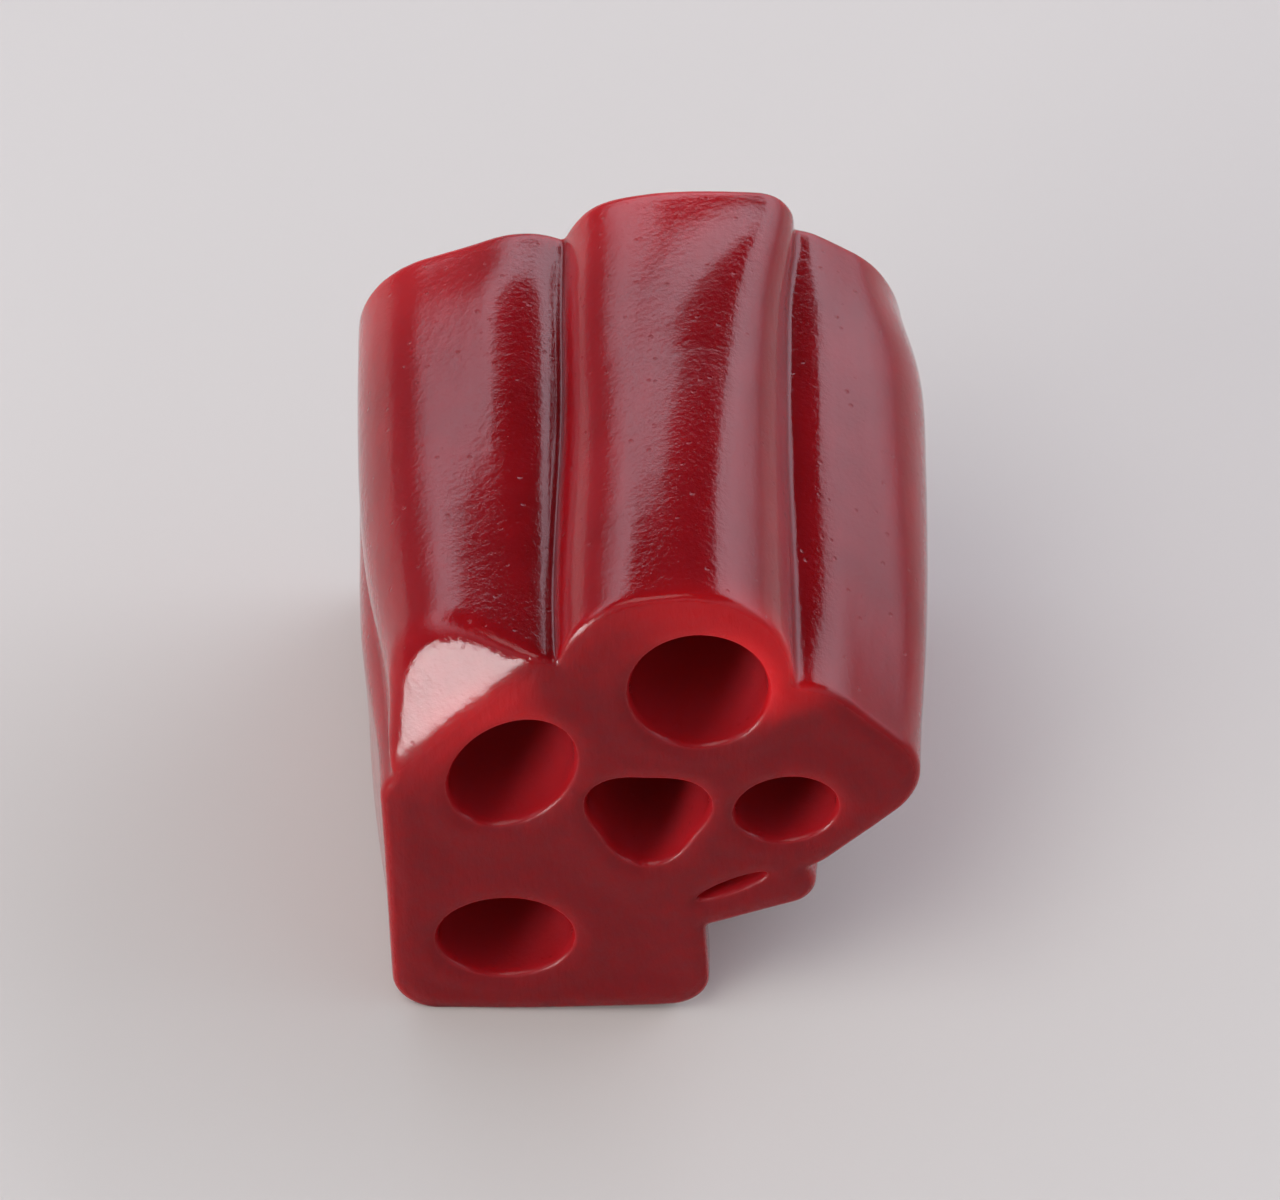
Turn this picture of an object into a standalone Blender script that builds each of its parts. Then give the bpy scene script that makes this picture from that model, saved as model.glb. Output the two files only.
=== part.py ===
"""A cherry licorice bite: a short cut length of soft rope with channels through it, lying on its side.

The rope has five petals with a channel in each, and a three-cornered channel up the middle. The knife
that cut the shown end pressed a slanting flat on the left petal and crushed the lower right one with its
channel. The knife at the other end flattened the top petal. The soft rope sags flat where it lies.

The rope runs along Y with the shown end at -Y, and +Z is up. The origin is on the surface that the bite lies
on, under the middle of its box. Lengths below are in millimetres about the rope's centre line, and angles in
degrees from +X towards +Z. The mesh is in metres.
"""

import math
from collections import namedtuple

import bmesh
import bpy
import numpy as np
from mathutils import Vector
from mathutils.geometry import delaunay_2d_cdt

MM = 0.001

# The rope
LENGTH = 20.4
REST_DEPTH = 8.9  # the surface lies this far under the centre line
MEAN_RADIUS = 9.4

# A petal: a block with its middle, its two half-sizes, how far it leans, and its left and right corner radii
Petal = namedtuple("Petal", "across up wide high lean left right")
ROPE_PETALS = (
    Petal(across=1.79, up=5.7, wide=4.0, high=3.85, lean=20.0, left=3.7, right=3.3),
    Petal(across=-4.5, up=2.98, wide=4.25, high=3.87, lean=23.0, left=3.7, right=2.75),
    Petal(across=-3.6, up=-3.3, wide=5.25, high=5.8, lean=2.0, left=2.8, right=2.8),
    Petal(across=4.9, up=-4.3, wide=4.2, high=4.7, lean=-4.0, left=3.0, right=3.0),
    Petal(across=6.22, up=2.78, wide=3.64, high=4.1, lean=-25.0, left=2.4, right=3.5),
)
CUT_PETALS = (
    Petal(across=1.55, up=6.0, wide=3.8, high=3.8, lean=8.0, left=3.4, right=3.4),
    Petal(across=-4.2, up=3.4, wide=3.4, high=3.9, lean=-4.0, left=3.1, right=2.75),
    Petal(across=-2.5, up=-3.35, wide=5.15, high=5.65, lean=4.0, left=1.4, right=1.3),
    Petal(across=3.1, up=-2.3, wide=2.9, high=2.3, lean=20.0, left=0.9, right=0.9),
    Petal(across=5.25, up=2.1, wide=3.8, high=3.7, lean=-45.0, left=3.0, right=2.2),
)
FAR_PETALS = (
    Petal(across=1.75, up=5.3, wide=3.85, high=3.85, lean=-5.0, left=3.7, right=1.3),
    *ROPE_PETALS[1:],
)
FAR_REACH = 4.0  # how far before the other cut its top petal runs into the rope's
CREASE_BLEND = 0.4  # the width over which one petal runs into the next

# A channel: its middle, its two half-widths, how far it leans, and how three-cornered it is
Channel = namedtuple("Channel", "across up wide high lean corners")
ROPE_CHANNELS = (
    Channel(across=1.8, up=5.6, wide=2.3, high=2.2, lean=0.0, corners=0.0),
    Channel(across=-5.3, up=3.3, wide=2.3, high=2.1, lean=45.0, corners=0.0),
    Channel(across=-4.4, up=-4.7, wide=2.4, high=2.1, lean=12.0, corners=0.0),
    Channel(across=4.5, up=-4.5, wide=2.1, high=1.9, lean=24.0, corners=0.0),
    Channel(across=5.6, up=2.1, wide=1.9, high=1.8, lean=15.0, corners=0.0),
    Channel(across=0.4, up=-0.3, wide=1.9, high=1.9, lean=-90.0, corners=0.12),
)
CUT_CHANNELS = (
    Channel(across=2.3, up=5.85, wide=2.2, high=2.3, lean=0.0, corners=0.0),
    Channel(across=-3.65, up=2.15, wide=2.5, high=1.8, lean=56.0, corners=0.0),
    Channel(across=-3.7, up=-5.5, wide=2.2, high=1.75, lean=12.0, corners=0.0),
    Channel(across=3.6, up=-2.9, wide=1.2, high=0.2, lean=28.0, corners=0.0),
    Channel(across=5.3, up=0.65, wide=1.65, high=1.4, lean=15.0, corners=0.0),
    Channel(across=0.8, up=0.3, wide=1.9, high=1.9, lean=-90.0, corners=0.12),
)
CUT_REACH = 7.0  # how far behind the shown cut its section runs into the rope's

# A flat that a knife pressed: the way it faces, its distance at its cut, its rise for each millimetre behind
# it, at which end it is, the width of the fold round it, and how much this softens for each millimetre
Flat = namedtuple("Flat", "facing distance rise end fold softening")
FLATS = (
    Flat(facing=137.5, distance=6.92, rise=1.15, end=-1, fold=0.3, softening=0.25),
    Flat(facing=97.0, distance=8.6, rise=0.16, end=1, fold=0.6, softening=0.15),
)
FOLD_LIMIT = 1.8

# A dent in the skin, with its depth, its reach round the rope, its station, and its reach along the rope
Dent = namedtuple("Dent", "angle depth spread station along")
DENTS = (
    Dent(angle=20.0, depth=0.7, spread=25.0, station=10.5, along=3.0),
    Dent(angle=122.0, depth=0.5, spread=20.0, station=10.4, along=2.0),
    Dent(angle=196.0, depth=0.4, spread=16.0, station=3.0, along=5.0),
)
DENT_FADE = 1.5  # the power by which a dent fades towards the centre line

TWIST = 2.5  # from end to end
WANDER = 0.8  # the creases bow by this much either way
WANDER_WAVES = 2  # round the rope
CUT_LEAN = 0.03  # how far a cut leans for each millimetre up
CUT_BULGE = 0.35
CUT_SHAPING = 4  # the power by which the lean and the bulge fade from a cut to mid-length
EDGE_RADIUS = 0.35
MOUTH_RADIUS = 0.2

# The mesh
OUTLINE_STEPS = 100
CHANNEL_STEPS = 20
LENGTH_STEPS = 15
EDGE_STEPS = 2
CAP_SPACING = 1.5
CAP_TOLERANCE = 1e-6
TRACE_START = 14.0
TRACE_STEPS = 80
SHARP_ANGLE = math.radians(50)


def at_station(cut_forms, rope_forms, far_forms, station):
    """Petals or channels at a place along the rope, between those at the two cuts and those in the middle."""
    cut_share = math.exp(-(((LENGTH / 2 + station) / CUT_REACH) ** 2))
    far_share = math.exp(-(((LENGTH / 2 - station) / FAR_REACH) ** 2))
    forms = []
    for cut, rope, far in zip(cut_forms, rope_forms, far_forms):
        values = [r + (c - r) * cut_share + (f - r) * far_share for c, r, f in zip(cut, rope, far)]
        forms.append(type(rope)(*values))
    return forms


def petal_distance(points, petal):
    """How far points are outside one petal, negative inside it."""
    lean = math.radians(petal.lean)
    across = points[:, 0] - petal.across
    up = points[:, 1] - petal.up
    beside = across * math.cos(lean) + up * math.sin(lean)
    above = up * math.cos(lean) - across * math.sin(lean)
    corner = np.where(beside < 0, petal.left, petal.right)
    beside = np.abs(beside) - petal.wide + corner
    above = np.abs(above) - petal.high + corner
    outside = np.hypot(np.maximum(beside, 0), np.maximum(above, 0))
    return outside + np.minimum(np.maximum(beside, above), 0) - corner


def soft_min(first, second, blend):
    """The smaller of two distances, rounded off where they are within blend of each other."""
    share = np.maximum(blend - np.abs(first - second), 0) / blend
    return np.minimum(first, second) - share**2 * blend / 4


def skin_distance(points, petals, station):
    """How far points are outside the rope's section at a place along it."""
    distance = petal_distance(points, petals[0])
    for petal in petals[1:]:
        distance = soft_min(distance, petal_distance(points, petal), CREASE_BLEND)
    for flat in FLATS:
        behind = LENGTH / 2 - flat.end * station
        facing = math.radians(flat.facing)
        height = points @ [math.cos(facing), math.sin(facing)]
        beyond = height - flat.distance - flat.rise * behind
        blend = min(flat.fold + flat.softening * behind, FOLD_LIMIT)
        distance = -soft_min(-distance, -beyond, blend)
    return distance


def outer_loop(station, inset):
    """The section's outline at a place along the rope, anticlockwise, traced inwards along rays."""
    petals = at_station(CUT_PETALS, ROPE_PETALS, FAR_PETALS, station)
    turn = np.linspace(0, 2 * math.pi, OUTLINE_STEPS, endpoint=False)
    rays = np.stack([np.cos(turn), np.sin(turn)], axis=1)
    radius = np.full(OUTLINE_STEPS, TRACE_START)
    for _ in range(TRACE_STEPS):
        radius = radius - skin_distance(rays * radius[:, None], petals, station)
    return rays * (radius - inset)[:, None]


def channel_loop(channel, flare):
    """One channel's outline, anticlockwise, widened by flare."""
    turn = np.linspace(0, 2 * math.pi, CHANNEL_STEPS, endpoint=False)
    corner = 1 + channel.corners * np.cos(3 * turn)
    wide = (channel.wide * corner + flare) * np.cos(turn)
    high = (channel.high * corner + flare) * np.sin(turn)
    lean = math.radians(channel.lean)
    across = channel.across + wide * math.cos(lean) - high * math.sin(lean)
    up = channel.up + wide * math.sin(lean) + high * math.cos(lean)
    return np.stack([across, up], axis=1)


def section_loops(station, drawn):
    """The outline and then the channels, where a cut's rounded edge has drawn them back by a share."""
    channels = at_station(CUT_CHANNELS, ROPE_CHANNELS, ROPE_CHANNELS, station)
    mouths = [channel_loop(channel, drawn * MOUTH_RADIUS) for channel in channels]
    return [outer_loop(station, drawn * EDGE_RADIUS), *mouths]


def stations():
    """Each ring's place along the rope, and the share by which a cut's rounded edge has drawn it back."""
    straight = LENGTH / 2 - EDGE_RADIUS
    turns = np.linspace(0, math.pi / 2, EDGE_STEPS + 1)[1:]
    back = [(straight + EDGE_RADIUS * math.sin(turn), 1 - math.cos(turn)) for turn in turns]
    middle = [(-straight * math.cos(turn), 0.0) for turn in np.linspace(0, math.pi, LENGTH_STEPS + 1)]
    front = [(-place, drawn) for place, drawn in reversed(back)]
    return front + middle + back


def dent_depth(angle, station):
    """How far the skin is pushed in, at angles in degrees and one place along the rope."""
    depth = np.zeros_like(angle)
    for dent in DENTS:
        round_it = (angle - dent.angle + 180) % 360 - 180
        along_it = (station - dent.station) / dent.along
        depth += dent.depth * np.exp(-((round_it / dent.spread) ** 2) - along_it**2)
    return depth


def bend(points, station):
    """Points of the section at one place along the rope, after the dents, the twist, the cuts and the sag."""
    radius = np.hypot(points[:, 0], points[:, 1])
    angle = np.degrees(np.arctan2(points[:, 1], points[:, 0]))
    end = 2 * station / LENGTH
    radius = radius - dent_depth(angle, station) * (radius / MEAN_RADIUS) ** DENT_FADE
    bow = WANDER * np.sin(math.pi * end + np.radians(WANDER_WAVES * angle))
    turn = np.radians(angle + TWIST / 2 * end + bow)
    across = radius * np.cos(turn)
    up = radius * np.sin(turn)
    bulge = math.copysign(CUT_BULGE, station) * (1 - (radius / MEAN_RADIUS) ** 2)
    along = station + abs(end) ** CUT_SHAPING * (bulge + CUT_LEAN * up)
    return np.stack([across, along, np.maximum(up, -REST_DEPTH)], axis=1)


def inside(points, loop):
    """Which points lie inside a closed loop, by counting the sides that a ray to the right crosses."""
    x, y = points[:, 0, None], points[:, 1, None]
    start, end = loop, np.roll(loop, -1, axis=0)
    spans = (start[:, 1] > y) != (end[:, 1] > y)
    rise = np.where(start[:, 1] == end[:, 1], 1.0, end[:, 1] - start[:, 1])
    crossing = start[:, 0] + (y - start[:, 1]) * (end[:, 0] - start[:, 0]) / rise
    return (spans & (x < crossing)).sum(axis=1) % 2 == 1


def in_section(points, loops):
    """Which points lie inside the outer loop and in none of the channels."""
    found = inside(points, loops[0])
    for loop in loops[1:]:
        found &= ~inside(points, loop)
    return found


def filling_points(loops):
    """A staggered grid of points inside the section, clear of its loops."""
    rows = np.arange(-MEAN_RADIUS, MEAN_RADIUS, CAP_SPACING * math.sin(math.pi / 3))
    steps = np.arange(-MEAN_RADIUS, MEAN_RADIUS, CAP_SPACING)
    grid = np.array([(x + CAP_SPACING / 2 * (n % 2), y) for n, y in enumerate(rows) for x in steps])
    edge = np.concatenate(loops)
    gap = np.hypot(*(grid[:, None] - edge[None]).transpose(2, 0, 1)).min(axis=1)
    return grid[in_section(grid, loops) & (gap > CAP_SPACING / 2)]


def fill_section(loops):
    """The points inside the section, and triangles over the loops' points and then these, anticlockwise."""
    filling = filling_points(loops)
    points = np.concatenate([*loops, filling])
    sides = []
    first = 0
    for loop in loops:
        sides += [(first + n, first + (n + 1) % len(loop)) for n in range(len(loop))]
        first += len(loop)
    made = delaunay_2d_cdt([Vector(p) for p in points], sides, [], 0, CAP_TOLERANCE)
    made_faces, came_from = made[2], made[3]
    triangles = np.array([[came_from[n][0] for n in face] for face in made_faces])
    middles = points[triangles].mean(axis=1)
    return filling, triangles[in_section(middles, loops)]


def rope_mesh():
    """The bite's points in millimetres, still about the rope's centre line, and its faces."""
    places = stations()
    rings = [section_loops(station, drawn) for station, drawn in places]
    points = [bend(np.concatenate(ring), station) for ring, (station, _) in zip(rings, places)]
    ring_size = len(points[0])
    faces = []
    first = 0
    for number, loop in enumerate(rings[0]):
        for ring in range(len(places) - 1):
            for n in range(len(loop)):
                here = ring * ring_size + first + n
                beside = ring * ring_size + first + (n + 1) % len(loop)
                side = [here, beside, beside + ring_size, here + ring_size]
                faces.append(side[::-1] if number == 0 else side)
        first += len(loop)
    for ring, front in ((0, True), (len(places) - 1, False)):
        filling, triangles = fill_section(rings[ring])
        new = sum(len(some) for some in points)
        points.append(bend(filling, places[ring][0]))
        numbers = np.concatenate([np.arange(ring_size) + ring * ring_size, np.arange(len(filling)) + new])
        cap = numbers[triangles]
        faces += (cap if front else cap[:, ::-1]).tolist()
    return np.concatenate(points), faces


def set_on_origin(points):
    """Moves the points so that the middle of their box's underside is the origin."""
    low, high = points.min(axis=0), points.max(axis=0)
    middle = (low + high) / 2
    return points - [middle[0], middle[1], low[2]]


def licorice_material():
    """Glossy, slightly see-through cherry red."""
    material = bpy.data.materials.new("cherry_licorice")
    material.use_nodes = True
    shader = material.node_tree.nodes["Principled BSDF"]
    shader.inputs["Base Color"].default_value = (0.20, 0.008, 0.012, 1)
    shader.inputs["Roughness"].default_value = 0.25
    shader.inputs["Metallic"].default_value = 0.0
    return material


def make_bite():
    points, faces = rope_mesh()
    mesh = bpy.data.meshes.new("licorice_bite")
    mesh.from_pydata((set_on_origin(points) * MM).tolist(), [], faces)
    mesh.validate()
    shape = bmesh.new()
    shape.from_mesh(mesh)
    bmesh.ops.recalc_face_normals(shape, faces=shape.faces)
    shape.to_mesh(mesh)
    shape.free()
    mesh.shade_smooth()
    mesh.set_sharp_from_angle(angle=SHARP_ANGLE)
    mesh.materials.append(licorice_material())
    bite = bpy.data.objects.new("licorice_bite", mesh)
    bpy.context.scene.collection.objects.link(bite)
    return bite


def main():
    for old in list(bpy.data.objects):
        bpy.data.objects.remove(old)
    make_bite()


main()
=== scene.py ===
"""The looks of a cherry licorice bite: a cut length of soft, glossy, dark red rope, on a pale table.

The fine rope follows the same petals, channels, knife flats and dents as the solid, in millimetres about
the rope's centre line, and is then set into the solid's box. Geometry Nodes lay the die's lines and the
knife's streaks over it, and scatter the crumbs that the knife left. The look is a translucent red under
an oily glaze, duller and grainier where it was cut.
"""

import math
from collections import namedtuple

import bmesh
import bpy
import numpy as np
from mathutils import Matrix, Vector
from mathutils.geometry import delaunay_2d_cdt


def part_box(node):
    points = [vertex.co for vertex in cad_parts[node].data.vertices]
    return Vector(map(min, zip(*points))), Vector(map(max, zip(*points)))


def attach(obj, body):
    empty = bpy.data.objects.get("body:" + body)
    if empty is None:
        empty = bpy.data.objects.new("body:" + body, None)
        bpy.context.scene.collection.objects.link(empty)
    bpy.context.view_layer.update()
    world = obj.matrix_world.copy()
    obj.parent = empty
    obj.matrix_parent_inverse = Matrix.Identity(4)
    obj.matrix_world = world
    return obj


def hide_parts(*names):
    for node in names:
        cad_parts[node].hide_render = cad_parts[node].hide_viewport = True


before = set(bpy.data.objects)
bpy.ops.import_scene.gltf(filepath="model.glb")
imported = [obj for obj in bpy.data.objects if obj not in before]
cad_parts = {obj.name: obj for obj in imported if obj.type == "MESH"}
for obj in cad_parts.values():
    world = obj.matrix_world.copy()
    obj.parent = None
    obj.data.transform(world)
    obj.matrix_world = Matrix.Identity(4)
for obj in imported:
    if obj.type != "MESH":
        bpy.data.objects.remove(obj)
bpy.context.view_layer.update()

MM = 0.001

# The rope
LENGTH = 20.4
REST_DEPTH = 8.9  # the table lies this far under the centre line
MEAN_RADIUS = 9.4

# A petal: a block with its middle, its two half-sizes, how far it leans, and its left and right corners'
# radii
Petal = namedtuple("Petal", "across up wide high lean left right")
ROPE_PETALS = (
    Petal(across=1.79, up=5.7, wide=4.0, high=3.85, lean=20.0, left=3.7, right=3.3),
    Petal(across=-4.5, up=2.98, wide=4.25, high=3.87, lean=23.0, left=3.7, right=2.75),
    Petal(across=-3.6, up=-3.3, wide=5.25, high=5.8, lean=2.0, left=2.8, right=2.8),
    Petal(across=4.9, up=-4.3, wide=4.2, high=4.7, lean=-4.0, left=3.0, right=3.0),
    Petal(across=6.22, up=2.78, wide=3.64, high=4.1, lean=-25.0, left=2.4, right=3.5),
)
CUT_PETALS = (
    Petal(across=1.55, up=6.0, wide=3.8, high=3.8, lean=8.0, left=3.4, right=3.4),
    Petal(across=-4.2, up=3.4, wide=3.4, high=3.9, lean=-4.0, left=3.1, right=2.75),
    Petal(across=-2.5, up=-3.35, wide=5.15, high=5.65, lean=4.0, left=1.4, right=1.3),
    Petal(across=3.1, up=-2.3, wide=2.9, high=2.3, lean=20.0, left=0.9, right=0.9),
    Petal(across=5.25, up=2.1, wide=3.8, high=3.7, lean=-45.0, left=3.0, right=2.2),
)
FAR_PETALS = (
    Petal(across=1.75, up=5.3, wide=3.85, high=3.85, lean=-5.0, left=3.7, right=1.3),
    *ROPE_PETALS[1:],
)
FAR_REACH = 4.0  # how far before the other cut its top petal runs into the rope's
CREASE_BLEND = 0.25  # the width over which one petal runs into the next

# A channel: its middle, its two half-widths, how far it leans, and how three-cornered it is
Channel = namedtuple("Channel", "across up wide high lean corners")
ROPE_CHANNELS = (
    Channel(across=1.8, up=5.6, wide=2.3, high=2.2, lean=0.0, corners=0.0),
    Channel(across=-5.3, up=3.3, wide=2.3, high=2.1, lean=45.0, corners=0.0),
    Channel(across=-4.4, up=-4.7, wide=2.4, high=2.1, lean=12.0, corners=0.0),
    Channel(across=4.5, up=-4.5, wide=2.1, high=1.9, lean=24.0, corners=0.0),
    Channel(across=5.6, up=2.1, wide=1.9, high=1.8, lean=15.0, corners=0.0),
    Channel(across=0.4, up=-0.3, wide=1.9, high=1.9, lean=-90.0, corners=0.12),
)
CUT_CHANNELS = (
    Channel(across=2.3, up=5.85, wide=2.2, high=2.3, lean=0.0, corners=0.0),
    Channel(across=-3.65, up=2.15, wide=2.5, high=1.8, lean=56.0, corners=0.0),
    Channel(across=-3.7, up=-5.5, wide=2.2, high=1.75, lean=12.0, corners=0.0),
    Channel(across=3.6, up=-2.9, wide=1.2, high=0.2, lean=28.0, corners=0.0),
    Channel(across=5.3, up=0.65, wide=1.65, high=1.4, lean=15.0, corners=0.0),
    Channel(across=0.8, up=0.3, wide=1.9, high=1.9, lean=-90.0, corners=0.12),
)
CUT_REACH = 7.0  # how far behind the shown cut its section runs into the rope's

# A flat that a knife pressed: the way it faces, its distance at its cut, its rise for each millimetre
# behind it, at which end it is, the width of the fold round it, and how much wider this gets for each
# millimetre, up to the limit
Flat = namedtuple("Flat", "facing distance rise end fold softening")
FLATS = (
    Flat(facing=137.5, distance=6.92, rise=1.15, end=-1, fold=0.3, softening=0.25),
    Flat(facing=97.0, distance=8.6, rise=0.16, end=1, fold=0.6, softening=0.15),
)
FOLD_LIMIT = 1.8

# A dent in the skin, with its depth, its reach round the rope, its station, and its reach along the rope
Dent = namedtuple("Dent", "angle depth spread station along")
DENTS = (
    Dent(angle=20.0, depth=0.7, spread=25.0, station=10.5, along=3.0),
    Dent(angle=122.0, depth=0.5, spread=20.0, station=10.4, along=2.0),
    Dent(angle=196.0, depth=0.4, spread=16.0, station=3.0, along=5.0),
)
DENT_FADE = 1.5

TWIST = 2.5
WANDER = 0.8
WANDER_WAVES = 2
CUT_LEAN = 0.03
CUT_BULGE = 0.35
CUT_SHAPING = 4
EDGE_RADIUS = 0.35
MOUTH_RADIUS = 0.2

# The fine mesh, and the steps in which a ray is traced in from outside to the skin
OUTLINE_STEPS = 360
CHANNEL_STEPS = 56
LENGTH_STEPS = 76
EDGE_STEPS = 6
CAP_SPACING = 0.24
CAP_TOLERANCE = 1e-6
TRACE_START = 14.0
TRACE_STEPS = 80

# The knife leaves a low lip along each rim of a cut
LIP_HEIGHT = 0.09
LIP_WIDTH = 0.45

# A wall about this thin glows, as far as this behind the shown cut and behind the other one. The glow
# grows from nothing at its foot's height to its full strength at its top's.
THIN_WALL = 1.7
GLOW_REACH = {-1: 1.1, 1: 3.5}
GLOW_FOOT = 0.0
GLOW_TOP = 6.0

# The channels' walls carry a painted glow, for the light that they let through, in full from this far behind
# a cut, and this share of it at the mouth
BORE_GLOW_REACH = 4.0
BORE_GLOW_MOUTH = 0.2

# The relief, in metres
RELIEF = {
    "Die line depth": 0.000022,
    "Die line spacing": 0.00055,
    "Peel depth": 0.000016,
    "Peel size": 0.0006,
    "Streak depth": 0.00003,
    "Streak spacing": 0.0007,
    "Lump depth": 0.00011,
    "Lump size": 0.0021,
    "Seed": 4.0,
}
LINE_STRETCH = 22.0  # a die line is this many times as long as it is wide
STREAK_STRETCH = 9.0
STREAK_ANGLE = math.radians(24)

# The crumbs, in metres, with their density for each square metre
CRUMBS = {
    "Spacing": 0.0021,
    "Density": 60000.0,
    "Smallest": 0.00006,
    "Largest": 0.00016,
    "Seed": 11,
}
CRUMB_FACES = 2
CRUMB_SHARE = 0.2  # of the density, on a cut
SKIN_CRUMB_SHARE = CRUMB_SHARE / 12

# The colours
SKIN_RED = (0.22, 0.004, 0.007)
DEEP_RED = (0.165, 0.0026, 0.0045)
CUT_RED = (0.125, 0.005, 0.008)
GLOW_RED = (0.36, 0.008, 0.011)  # where a wall is thin and lets the light through
PAINTED_BORE_GLOW_RED = (0.45, 0.02, 0.027)  # painted glow on the channels' walls well behind a cut, for the light that they let through
SCATTER_LENGTHS = (2.2, 0.22, 0.18)  # of red, green and blue light, in millimetres
SKIN_ROUGHNESS = (0.07, 0.14)
CUT_ROUGHNESS = (0.34, 0.52)
GLAZE = 0.2  # the weight of the oily glaze on the skin
PEEL_BUMP = 0.000022
PIT_BUMP = 0.00003
TORN_BUMP = 0.000045
TABLE_WHITE = (0.6, 0.585, 0.535)
TABLE_SIZE = 3.0

# The band of light round the back of the room. These are the sines of the elevations where it starts to
# fade at its top, where it ends there, where it starts to dim downwards and where it is dimmest, each at
# the left and at the right. Further to the right its top goes up by the rise, from its start to its end.
BAND_TOPS = (0.56, 0.49)
BAND_ENDS = (0.61, 0.54)
BAND_DIMS = (0.5, 0.45)
BAND_FEET = (0.3, -0.05)
BAND_SIDE = 0.3  # the sine of the way to the left and to the right where these hold
RISE_START = 0.35
RISE_END = 0.45
RIGHT_RISE = 0.18
FOOT_SHARE = 0.05
BAND_LIGHT = 3.8
BAND_TINT = (1.0, 0.97, 1.12)
FRONT_SHARE = 0.3
FRONT_EDGE = -0.35
BACK_EDGE = 0.15
CEILING_LIGHT = 0.06

# The softboxes: their places, their sizes and their power in watts
Softbox = namedtuple("Softbox", "name location size power")
SOFTBOXES = (
    Softbox(name="window", location=(-0.41, -0.29, 0.05), size=(0.26, 0.16), power=2.9),
    Softbox(name="overhead", location=(-0.22, -0.22, 0.62), size=(0.46, 0.36), power=1.6),
)

CAMERA_ELEVATION = 45.0
CAMERA_DISTANCE = 0.50
CAMERA_LENS = 425.0
AIM = (0.0, 0.0, 0.0088)


def at_station(cut_forms, rope_forms, far_forms, station):
    """Petals or channels at a place along the rope, between those at the cuts and in the middle."""
    cut_share = math.exp(-(((LENGTH / 2 + station) / CUT_REACH) ** 2))
    far_share = math.exp(-(((LENGTH / 2 - station) / FAR_REACH) ** 2))
    forms = []
    for cut, rope, far in zip(cut_forms, rope_forms, far_forms):
        sizes = zip(cut, rope, far)
        forms.append(type(rope)(*[r + (c - r) * cut_share + (f - r) * far_share for c, r, f in sizes]))
    return forms


def petal_distance(points, petal):
    """How far points are outside one petal, negative inside it."""
    lean = math.radians(petal.lean)
    across = points[:, 0] - petal.across
    up = points[:, 1] - petal.up
    beside = across * math.cos(lean) + up * math.sin(lean)
    above = up * math.cos(lean) - across * math.sin(lean)
    corner = np.where(beside < 0, petal.left, petal.right)
    beside = np.abs(beside) - petal.wide + corner
    above = np.abs(above) - petal.high + corner
    outside = np.hypot(np.maximum(beside, 0), np.maximum(above, 0))
    return outside + np.minimum(np.maximum(beside, above), 0) - corner


def soft_min(first, second, blend):
    """The smaller of two distances, rounded off where they are within blend of each other."""
    share = np.maximum(blend - np.abs(first - second), 0) / blend
    return np.minimum(first, second) - share**2 * blend / 4


def skin_distance(points, petals, station):
    """How far points are outside the rope's section at a place along it."""
    distance = petal_distance(points, petals[0])
    for petal in petals[1:]:
        distance = soft_min(distance, petal_distance(points, petal), CREASE_BLEND)
    for flat in FLATS:
        behind = LENGTH / 2 - flat.end * station
        facing = math.radians(flat.facing)
        height = points @ [math.cos(facing), math.sin(facing)]
        beyond = height - flat.distance - flat.rise * behind
        blend = min(flat.fold + flat.softening * behind, FOLD_LIMIT)
        distance = -soft_min(-distance, -beyond, blend)
    return distance


def outer_loop(station, inset):
    """The section's outline at a place along the rope, anticlockwise, traced inwards along rays."""
    petals = at_station(CUT_PETALS, ROPE_PETALS, FAR_PETALS, station)
    turn = np.linspace(0, 2 * math.pi, OUTLINE_STEPS, endpoint=False)
    rays = np.stack([np.cos(turn), np.sin(turn)], axis=1)
    radius = np.full(OUTLINE_STEPS, TRACE_START)
    for _ in range(TRACE_STEPS):
        radius = radius - skin_distance(rays * radius[:, None], petals, station)
    return rays * (radius - inset)[:, None]


def channel_loop(channel, flare):
    """One channel's outline, anticlockwise, widened by flare."""
    turn = np.linspace(0, 2 * math.pi, CHANNEL_STEPS, endpoint=False)
    corner = 1 + channel.corners * np.cos(3 * turn)
    wide = (channel.wide * corner + flare) * np.cos(turn)
    high = (channel.high * corner + flare) * np.sin(turn)
    lean = math.radians(channel.lean)
    across = channel.across + wide * math.cos(lean) - high * math.sin(lean)
    up = channel.up + wide * math.sin(lean) + high * math.cos(lean)
    return np.stack([across, up], axis=1)


def section_loops(station, drawn):
    """The outline and then the channels, where a cut's rounded edge has drawn them back by a share."""
    channels = at_station(CUT_CHANNELS, ROPE_CHANNELS, ROPE_CHANNELS, station)
    mouths = [channel_loop(channel, drawn * MOUTH_RADIUS) for channel in channels]
    return [outer_loop(station, drawn * EDGE_RADIUS), *mouths]


def stations():
    """Each ring's place along the rope, and by what share a cut's rounded edge has drawn it back there."""
    straight = LENGTH / 2 - EDGE_RADIUS
    turns = np.linspace(0, math.pi / 2, EDGE_STEPS + 1)[1:]
    back = [(straight + EDGE_RADIUS * math.sin(turn), 1 - math.cos(turn)) for turn in turns]
    middle = [(place, 0.0) for place in np.linspace(-straight, straight, LENGTH_STEPS + 1)]
    front = [(-place, drawn) for place, drawn in reversed(back)]
    return front + middle + back


def dent_depth(angle, station):
    """How far the skin is pushed in, at angles in degrees and one place along the rope."""
    depth = np.zeros_like(angle)
    for dent in DENTS:
        round_it = (angle - dent.angle + 180) % 360 - 180
        along_it = (station - dent.station) / dent.along
        depth += dent.depth * np.exp(-((round_it / dent.spread) ** 2) - along_it**2)
    return depth


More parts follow.
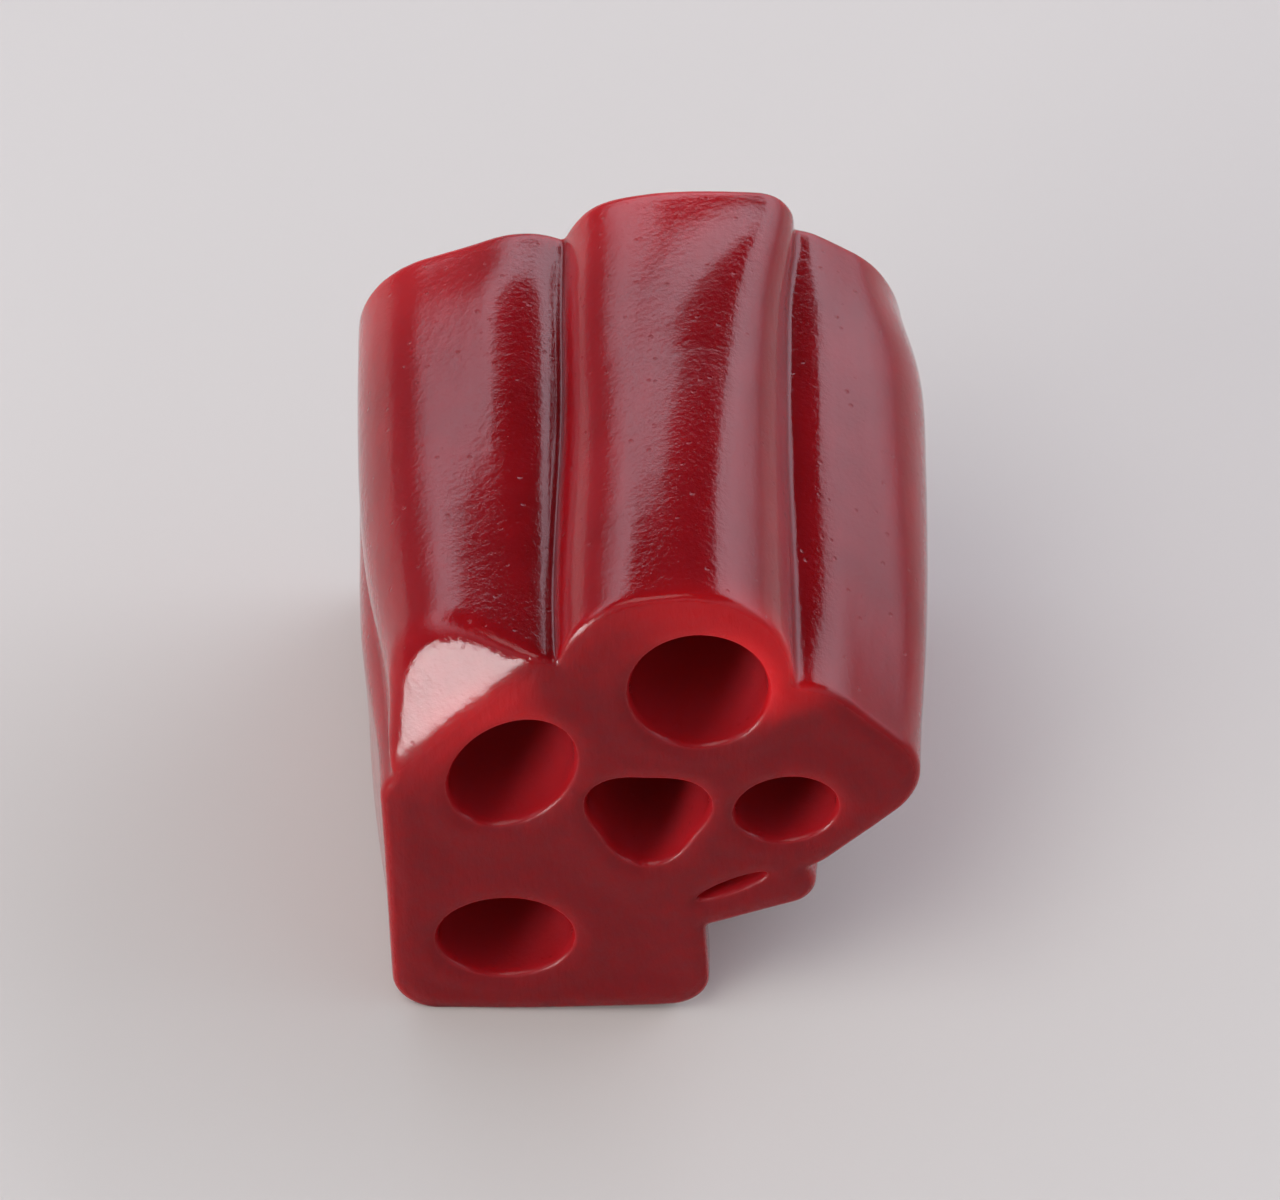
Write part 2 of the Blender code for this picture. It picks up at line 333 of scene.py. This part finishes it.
def bend(points, station, lip):
    """The section's points at one place, after dents, twist, cuts and sag, with the lips out of a cut."""
    radius = np.hypot(points[:, 0], points[:, 1])
    angle = np.degrees(np.arctan2(points[:, 1], points[:, 0]))
    end = 2 * station / LENGTH
    radius = radius - dent_depth(angle, station) * (radius / MEAN_RADIUS) ** DENT_FADE
    bow = WANDER * np.sin(math.pi * end + np.radians(WANDER_WAVES * angle))
    turn = np.radians(angle + TWIST / 2 * end + bow)
    across = radius * np.cos(turn)
    up = radius * np.sin(turn)
    bulge = CUT_BULGE * (1 - (radius / MEAN_RADIUS) ** 2) + lip
    along = station + abs(end) ** CUT_SHAPING * (math.copysign(1, station) * bulge + CUT_LEAN * up)
    return np.stack([across, along, np.maximum(up, -REST_DEPTH)], axis=1)


def inside(points, loop):
    """Which points lie inside a closed loop, by counting the sides that a ray to the right crosses."""
    x, y = points[:, 0, None], points[:, 1, None]
    start, end = loop, np.roll(loop, -1, axis=0)
    spans = (start[:, 1] > y) != (end[:, 1] > y)
    rise = np.where(start[:, 1] == end[:, 1], 1.0, end[:, 1] - start[:, 1])
    crossing = start[:, 0] + (y - start[:, 1]) * (end[:, 0] - start[:, 0]) / rise
    return (spans & (x < crossing)).sum(axis=1) % 2 == 1


def in_section(points, loops):
    """Which points lie inside the outer loop and in none of the channels."""
    found = inside(points, loops[0])
    for loop in loops[1:]:
        found &= ~inside(points, loop)
    return found


def rim_gap(points, loops):
    """Each point's distance to the nearest rim."""
    gaps = [np.hypot(*(points[:, None] - loop[None]).transpose(2, 0, 1)).min(axis=1) for loop in loops]
    return np.min(gaps, axis=0)


def thinness(points, loops):
    """How much light a wall between the skin and a channel lets through at each point, from 0 to 1."""
    wall = rim_gap(points, loops[:1]) + rim_gap(points, loops[1:])
    height = np.clip((points[:, 1] - GLOW_FOOT) / (GLOW_TOP - GLOW_FOOT), 0, 1)
    return np.exp(-((wall / THIN_WALL) ** 4)) * height


def fill_section(loops):
    """Points inside the section, their gaps to its rims, and triangles over the loops and them."""
    rows = np.arange(-MEAN_RADIUS, MEAN_RADIUS, CAP_SPACING * math.sin(math.pi / 3))
    steps = np.arange(-MEAN_RADIUS, MEAN_RADIUS, CAP_SPACING)
    grid = np.array([(x + CAP_SPACING / 2 * (n % 2), y) for n, y in enumerate(rows) for x in steps])
    grid = grid[in_section(grid, loops)]
    gap = rim_gap(grid, loops)
    clear = gap > CAP_SPACING / 2
    filling, gap = grid[clear], gap[clear]
    points = np.concatenate([*loops, filling])
    sides = []
    first = 0
    for loop in loops:
        sides += [(first + n, first + (n + 1) % len(loop)) for n in range(len(loop))]
        first += len(loop)
    made = delaunay_2d_cdt([Vector(p) for p in points], sides, [], 0, CAP_TOLERANCE)
    made_faces, came_from = made[2], made[3]
    triangles = np.array([[came_from[n][0] for n in face] for face in made_faces])
    middles = points[triangles].mean(axis=1)
    return filling, gap, triangles[in_section(middles, loops)]


def lip(gap):
    """The knife's lip at a distance from a rim, level with the rim itself."""
    return LIP_HEIGHT * (gap / LIP_WIDTH) * np.exp(1 - gap / LIP_WIDTH)


def rope_mesh():
    """The rope's points in millimetres about its centre line, their shares of each look, and the faces."""
    places = stations()
    rings = [section_loops(station, drawn) for station, drawn in places]
    points, cut, glow, painted_bore_glow = [], [], [], []
    for ring, (station, drawn) in zip(rings, places):
        every = np.concatenate(ring)
        behind = LENGTH / 2 - abs(station)
        points.append(bend(every, station, 0.0))
        cut.append(np.full(len(every), drawn))
        reach = GLOW_REACH[math.copysign(1, station)]
        glow.append(thinness(every, ring) * math.exp(-((behind / reach) ** 2)))
        # painted glow on the channels' walls, for the light that they let through, growing behind each cut
        bore_glow_share = np.interp(behind, [0, BORE_GLOW_REACH], [BORE_GLOW_MOUTH, 1.0]) * (1.0 - drawn)
        on_skin = np.arange(len(every)) < len(ring[0])
        painted_bore_glow.append(np.where(on_skin, 0.0, bore_glow_share))
    ring_size = len(points[0])
    faces = []
    first = 0
    for number, loop in enumerate(rings[0]):
        for ring in range(len(places) - 1):
            here = ring * ring_size + first + np.arange(len(loop))
            beside = ring * ring_size + first + (np.arange(len(loop)) + 1) % len(loop)
            side = np.stack([here, beside, beside + ring_size, here + ring_size], axis=1)
            faces += (side[:, ::-1] if number == 0 else side).tolist()
        first += len(loop)
    for ring, front in ((0, True), (len(places) - 1, False)):
        filling, gap, triangles = fill_section(rings[ring])
        new = sum(len(some) for some in points)
        points.append(bend(filling, places[ring][0], lip(gap)))
        cut.append(np.ones(len(filling)))
        glow.append(thinness(filling, rings[ring]))
        painted_bore_glow.append(np.zeros(len(filling)))
        rims = np.arange(ring_size) + ring * ring_size
        cap = np.concatenate([rims, np.arange(len(filling)) + new])[triangles]
        faces += (cap if front else cap[:, ::-1]).tolist()
    looks = {"cut": cut, "glow": glow, "painted_bore_glow": painted_bore_glow}
    shares = {name: np.concatenate(share) for name, share in looks.items()}
    return np.concatenate(points), shares, faces


def into_box(points, whole, low, high):
    """Points moved and drawn in as the box of the whole is to fill the given one."""
    own_low, own_high = whole.min(axis=0), whole.max(axis=0)
    return (points - own_low) / (own_high - own_low) * (high - low) + low


def add_node(tree, kind, inputs=None, **settings):
    """A new node with its settings, and its inputs set to values or linked from sockets."""
    made = tree.nodes.new(kind)
    for name, value in settings.items():
        setattr(made, name, value)
    for key, value in (inputs or {}).items():
        if isinstance(value, bpy.types.NodeSocket):
            tree.links.new(value, made.inputs[key])
        else:
            made.inputs[key].default_value = value
    return made


def calculate(tree, operation, *values):
    """The output of a Math node."""
    return add_node(tree, "ShaderNodeMath", dict(enumerate(values)), operation=operation).outputs[0]


def noise(tree, vector, scale, detail=2.0, roughness=0.5, seed=0.0):
    """The output of a Noise Texture, from 0 to 1, whose fourth coordinate is the seed."""
    inputs = {"Vector": vector, "W": seed, "Scale": scale, "Detail": detail, "Roughness": roughness}
    return add_node(tree, "ShaderNodeTexNoise", inputs, noise_dimensions="4D").outputs[0]


def read_share(tree, name):
    """The named share on each point, in a Geometry Nodes tree."""
    inputs = {"Name": name}
    return add_node(tree, "GeometryNodeInputNamedAttribute", inputs, data_type="FLOAT").outputs["Attribute"]


def remap(tree, value, low, high, to_low, to_high):
    """A value's range carried over to another one, and held inside it."""
    inputs = {"Value": value, "From Min": low, "From Max": high, "To Min": to_low, "To Max": to_high}
    return add_node(tree, "ShaderNodeMapRange", inputs).outputs[0]


def along_normal(tree, height):
    """An offset as high as stated along the surface's normal."""
    inputs = {0: tree.nodes.new("GeometryNodeInputNormal").outputs[0], "Scale": height}
    return add_node(tree, "ShaderNodeVectorMath", inputs, operation="SCALE").outputs[0]


def group_tree(name, sizes):
    """A Geometry Nodes tree that takes a geometry, a number for each size and a material, and its inputs."""
    tree = bpy.data.node_groups.new(name, "GeometryNodeTree")
    tree.interface.new_socket("Geometry", in_out="INPUT", socket_type="NodeSocketGeometry")
    for label, value in sizes.items():
        kind = "NodeSocketInt" if isinstance(value, int) else "NodeSocketFloat"
        tree.interface.new_socket(label, in_out="INPUT", socket_type=kind)
    tree.interface.new_socket("Material", in_out="INPUT", socket_type="NodeSocketMaterial")
    tree.interface.new_socket("Geometry", in_out="OUTPUT", socket_type="NodeSocketGeometry")
    return tree, tree.nodes.new("NodeGroupInput").outputs


def finish_tree(tree, geometry, material):
    """Ends a tree in Realize Instances and Set Material."""
    whole = add_node(tree, "GeometryNodeRealizeInstances", {"Geometry": geometry})
    inputs = {"Geometry": whole.outputs[0], "Material": material}
    painted = add_node(tree, "GeometryNodeSetMaterial", inputs)
    add_node(tree, "NodeGroupOutput", {0: painted.outputs[0]})


def relief_tree():
    """Lays the die's lines and a fine peel over the skin, and the knife's streaks and lumps over cuts."""
    tree, given = group_tree("licorice_relief", RELIEF)
    place = tree.nodes.new("GeometryNodeInputPosition").outputs[0]
    cut = read_share(tree, "cut")
    skin = calculate(tree, "SUBTRACT", 1.0, cut)

    def layer(stretch, turned, spacing, depth, share, detail):
        """A noise stretched along one way, centred on zero, as deep as stated where its share is one."""
        inputs = {"Vector": place, "Axis": (0.0, 1.0, 0.0), "Angle": turned}
        laid = add_node(tree, "ShaderNodeVectorRotate", inputs, rotation_type="AXIS_ANGLE").outputs[0]
        inputs = {0: laid, 1: stretch}
        drawn = add_node(tree, "ShaderNodeVectorMath", inputs, operation="DIVIDE").outputs[0]
        wave = noise(tree, drawn, calculate(tree, "DIVIDE", 1.0, spacing), detail, 0.5, given["Seed"])
        height = calculate(tree, "MULTIPLY", calculate(tree, "SUBTRACT", wave, 0.5), depth)
        return calculate(tree, "MULTIPLY", height, share)

    even = (1.0, 1.0, 1.0)
    along_rope = (1.0, LINE_STRETCH, 1.0)
    with_knife = (1.0, STREAK_STRETCH, STREAK_STRETCH)
    lines = layer(along_rope, 0.0, given["Die line spacing"], given["Die line depth"], skin, 2.0)
    peel = layer(even, 0.0, given["Peel size"], given["Peel depth"], skin, 1.0)
    streaks = layer(with_knife, STREAK_ANGLE, given["Streak spacing"], given["Streak depth"], cut, 2.0)
    lumps = layer(even, 0.0, given["Lump size"], given["Lump depth"], cut, 2.0)
    skin_height = calculate(tree, "ADD", lines, peel)
    cut_height = calculate(tree, "ADD", streaks, lumps)
    height = calculate(tree, "ADD", skin_height, cut_height)
    offset = along_normal(tree, height)
    moved = add_node(tree, "GeometryNodeSetPosition", {"Geometry": given["Geometry"], "Offset": offset})
    finish_tree(tree, moved.outputs[0], given["Material"])
    return tree


def crumb_tree():
    """Scatters small crumbs over the cuts and sparsely over the skin, each half sunk in the surface."""
    tree, given = group_tree("licorice_crumbs", CRUMBS)
    inputs = {
        "Mesh": given["Geometry"],
        "Distance Min": given["Spacing"],
        "Density Max": given["Density"],
        "Density Factor": remap(tree, read_share(tree, "cut"), 0.0, 1.0, SKIN_CRUMB_SHARE, CRUMB_SHARE),
        "Seed": given["Seed"],
    }
    spots = add_node(tree, "GeometryNodeDistributePointsOnFaces", inputs, distribute_method="POISSON")
    inputs = {"Radius": 1.0, "Subdivisions": CRUMB_FACES}
    ball = add_node(tree, "GeometryNodeMeshIcoSphere", inputs).outputs[0]
    uneven = noise(tree, tree.nodes.new("GeometryNodeInputPosition").outputs[0], 0.9, 1.0, 0.5, 3.0)
    bumps = along_normal(tree, calculate(tree, "SUBTRACT", uneven, 0.5))
    crumb = add_node(tree, "GeometryNodeSetPosition", {"Geometry": ball, "Offset": bumps}).outputs[0]
    inputs = {2: given["Smallest"], 3: given["Largest"], "Seed": given["Seed"]}
    size = add_node(tree, "FunctionNodeRandomValue", inputs, data_type="FLOAT")
    inputs = {
        "Points": spots.outputs["Points"],
        "Instance": crumb,
        "Rotation": spots.outputs["Rotation"],
        "Scale": size.outputs[1],
    }
    laid = add_node(tree, "GeometryNodeInstanceOnPoints", inputs)
    finish_tree(tree, laid.outputs[0], given["Material"])
    return tree


def grown(piece, tree, sizes, material):
    """The plain mesh that a Geometry Nodes tree makes of a piece."""
    modifier = piece.modifiers.new("grown", "NODES")
    modifier.node_group = tree
    for item in tree.interface.items_tree:
        if item.in_out == "INPUT" and item.name in sizes:
            modifier[item.identifier] = sizes[item.name]
        if item.in_out == "INPUT" and item.name == "Material":
            modifier[item.identifier] = material
    ready = piece.evaluated_get(bpy.context.evaluated_depsgraph_get())
    made = bpy.data.meshes.new_from_object(ready)
    piece.modifiers.remove(modifier)
    return made


def new_material(name):
    """A material with nothing but a Principled BSDF and its output, and its tree and shader."""
    material = bpy.data.materials.new(name)
    material.use_nodes = True
    tree = material.node_tree
    return material, tree, tree.nodes["Principled BSDF"]


def mix(tree, share, first, second):
    """The output of a colour mix."""
    made = tree.nodes.new("ShaderNodeMix")
    made.data_type = "RGBA"
    for key, value in ((0, share), (6, first), (7, second)):
        if isinstance(value, bpy.types.NodeSocket):
            tree.links.new(value, made.inputs[key])
        else:
            made.inputs[key].default_value = value
    return made.outputs[2]


def licorice_material():
    """Translucent cherry red under an oily glaze, duller and grainier on the cuts, paler where it glows,
    with a painted glow inside the channels.
    """
    material, tree, shader = new_material("cherry_licorice")
    place = add_node(tree, "ShaderNodeTexCoord").outputs["Object"]
    reads = [add_node(tree, "ShaderNodeAttribute", attribute_name=name) for name in ("cut", "glow", "painted_bore_glow")]
    cut, glow, painted_bore_glow = (read.outputs["Fac"] for read in reads)
    skin = calculate(tree, "SUBTRACT", 1.0, cut)

    mottle = remap(tree, noise(tree, place, 260.0, 3.0, 0.55), 0.35, 0.7, 0.0, 1.0)
    flow = add_node(tree, "ShaderNodeMapping", {"Vector": place, "Scale": (1.0, 0.06, 1.0)}).outputs[0]
    streaks = remap(tree, noise(tree, flow, 1500.0, 2.0, 0.5, 2.0), 0.4, 0.75, 0.0, 0.5)
    red = mix(tree, mottle, (*SKIN_RED, 1), (*DEEP_RED, 1))
    red = mix(tree, streaks, red, (*DEEP_RED, 1))
    grain = remap(tree, noise(tree, place, 1900.0, 4.0, 0.7, 5.0), 0.3, 0.7, 0.0, 1.0)
    cut_red = mix(tree, grain, (*CUT_RED, 1), (*DEEP_RED, 1))
    # painted glow on the channels' walls, for the light that they let through
    walls = mix(tree, painted_bore_glow, mix(tree, cut, red, cut_red), (*PAINTED_BORE_GLOW_RED, 1))
    lit = mix(tree, glow, walls, (*GLOW_RED, 1))
    tree.links.new(lit, shader.inputs["Base Color"])

    smudges = remap(tree, noise(tree, place, 420.0, 4.0, 0.6, 7.0), 0.35, 0.7, *SKIN_ROUGHNESS)
    rubbed = remap(tree, grain, 0.0, 1.0, *CUT_ROUGHNESS)
    spread = calculate(tree, "MULTIPLY", cut, calculate(tree, "SUBTRACT", rubbed, smudges))
    tree.links.new(calculate(tree, "ADD", smudges, spread), shader.inputs["Roughness"])

    tree.links.new(remap(tree, cut, 0.0, 1.0, GLAZE, 0.0), shader.inputs["Coat Weight"])
    shader.inputs["Coat Roughness"].default_value = 0.06
    shader.inputs["Coat IOR"].default_value = 1.45
    shader.inputs["IOR"].default_value = 1.25
    shader.inputs["Subsurface Weight"].default_value = 1.0
    shader.inputs["Subsurface Radius"].default_value = SCATTER_LENGTHS
    shader.inputs["Subsurface Scale"].default_value = MM

    fine_peel = noise(tree, place, 4200.0, 3.0, 0.65, 9.0)
    pits = add_node(tree, "ShaderNodeTexVoronoi", {"Vector": place, "Scale": 1500.0, "Randomness": 1.0})
    pit = remap(tree, pits.outputs["Distance"], 0.0, 0.14, 0.0, 1.0)
    fibres = add_node(tree, "ShaderNodeMapping", {"Vector": place, "Scale": (1.0, 0.4, 0.25)}).outputs[0]
    torn = noise(tree, fibres, 4200.0, 5.0, 0.7, 1.0)
    bump = None
    layers = ((fine_peel, skin, PEEL_BUMP), (pit, skin, PIT_BUMP), (torn, cut, TORN_BUMP))
    for height, share, depth in layers:
        inputs = {"Height": height, "Strength": share, "Distance": depth}
        if bump:
            inputs["Normal"] = bump
        bump = add_node(tree, "ShaderNodeBump", inputs).outputs[0]
    tree.links.new(bump, shader.inputs["Normal"])
    return material


def table_material():
    material, _, shader = new_material("pale_table")
    shader.inputs["Base Color"].default_value = (*TABLE_WHITE, 1)
    shader.inputs["Roughness"].default_value = 0.6
    return material


def new_piece(name, mesh):
    """A mesh as an object at the origin."""
    piece = bpy.data.objects.new(name, mesh)
    bpy.context.scene.collection.objects.link(piece)
    return piece


def build_rope(licorice):
    """The fine rope with its relief, and the crumbs on it, as two pieces inside the solid's box."""
    points, shares, faces = rope_mesh()
    low, high = (np.array(corner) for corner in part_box("licorice_bite"))
    mesh = bpy.data.meshes.new("rope")
    mesh.from_pydata(into_box(points, points, low, high).tolist(), [], faces)
    for name, share in shares.items():
        mesh.attributes.new(name, "FLOAT", "POINT").data.foreach_set("value", share.astype(np.float32))
    mesh.shade_smooth()
    shape = bmesh.new()
    shape.from_mesh(mesh)
    bmesh.ops.recalc_face_normals(shape, faces=shape.faces)
    shape.to_mesh(mesh)
    shape.free()
    rope = new_piece("licorice_rope", mesh)
    rope.data = grown(rope, relief_tree(), RELIEF, licorice)
    crumbs = new_piece("knife_crumbs", grown(rope, crumb_tree(), CRUMBS, licorice))
    for name in shares:
        marks = crumbs.data.attributes.get(name) or crumbs.data.attributes.new(name, "FLOAT", "POINT")
        marks.data.foreach_set("value", np.zeros(len(crumbs.data.vertices), dtype=np.float32))
    crumbs.data.shade_smooth()
    draw_into_box((rope, crumbs), low, high)
    return rope, crumbs


def read_points(mesh):
    """A mesh's points as an array of rows."""
    flat = np.empty(len(mesh.vertices) * 3, dtype=np.float32)
    mesh.vertices.foreach_get("co", flat)
    return flat.reshape(-1, 3).astype(float)


def draw_into_box(pieces, low, high):
    """Draws the pieces in together so that none of their points leaves the box."""
    sets = [read_points(piece.data) for piece in pieces]
    whole = np.concatenate(sets)
    for piece, points in zip(pieces, sets):
        moved = into_box(points, whole, low, high)
        piece.data.vertices.foreach_set("co", moved.astype(np.float32).ravel())
        piece.data.update()


def lay_table():
    bpy.ops.mesh.primitive_plane_add(size=TABLE_SIZE)
    table = bpy.context.object
    table.name = "table"
    table.data.materials.append(table_material())


def light_room():
    """A bright band of light round the back of the room, dim towards its foot and in the front."""
    world = bpy.data.worlds.new("room")
    world.use_nodes = True
    bpy.context.scene.world = world
    tree = world.node_tree
    way = add_node(tree, "ShaderNodeTexCoord").outputs["Generated"]
    parts = add_node(tree, "ShaderNodeSeparateXYZ", {0: way}).outputs
    pairs = (BAND_TOPS, BAND_ENDS, BAND_FEET, BAND_DIMS)
    top, end, foot, dim = (remap(tree, parts["X"], -BAND_SIDE, BAND_SIDE, *pair) for pair in pairs)
    rise = remap(tree, parts["X"], RISE_START, RISE_END, 0.0, RIGHT_RISE)
    height = calculate(tree, "SUBTRACT", parts["Z"], rise)
    under_top = remap(tree, height, top, end, 1.0, 0.0)
    above_foot = remap(tree, parts["Z"], foot, dim, FOOT_SHARE, 1.0)
    behind = remap(tree, parts["Y"], FRONT_EDGE, BACK_EDGE, FRONT_SHARE, 1.0)
    gate = calculate(tree, "MULTIPLY", calculate(tree, "MULTIPLY", under_top, above_foot), behind)
    band = calculate(tree, "MULTIPLY", gate, BAND_LIGHT)
    background = tree.nodes["Background"]
    background.inputs["Color"].default_value = (*BAND_TINT, 1)
    tree.links.new(calculate(tree, "ADD", band, CEILING_LIGHT), background.inputs["Strength"])


def add_softbox(softbox):
    """An area light that faces the bite."""
    light = bpy.data.lights.new(softbox.name, "AREA")
    light.shape = "RECTANGLE"
    light.size, light.size_y = softbox.size
    light.energy = softbox.power
    box = bpy.data.objects.new(softbox.name, light)
    bpy.context.scene.collection.objects.link(box)
    box.location = softbox.location
    towards = Vector(AIM) - Vector(softbox.location)
    box.rotation_euler = towards.to_track_quat("-Z", "Y").to_euler()


def place_camera():
    camera = bpy.data.cameras.new("camera")
    camera.lens = CAMERA_LENS
    camera.clip_start = 0.01
    holder = bpy.data.objects.new("camera", camera)
    bpy.context.scene.collection.objects.link(holder)
    elevation = math.radians(CAMERA_ELEVATION)
    away = Vector((0, -math.cos(elevation), math.sin(elevation))) * CAMERA_DISTANCE
    holder.location = Vector(AIM) + away
    holder.rotation_euler = (-away).to_track_quat("-Z", "Y").to_euler()
    bpy.context.scene.camera = holder


def main():
    licorice = licorice_material()
    rope, crumbs = build_rope(licorice)
    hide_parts("licorice_bite")
    for piece in (rope, crumbs):
        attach(piece, "root")
    lay_table()
    light_room()
    for softbox in SOFTBOXES:
        add_softbox(softbox)
    place_camera()
    bpy.context.scene.view_settings.view_transform = "Standard"


main()
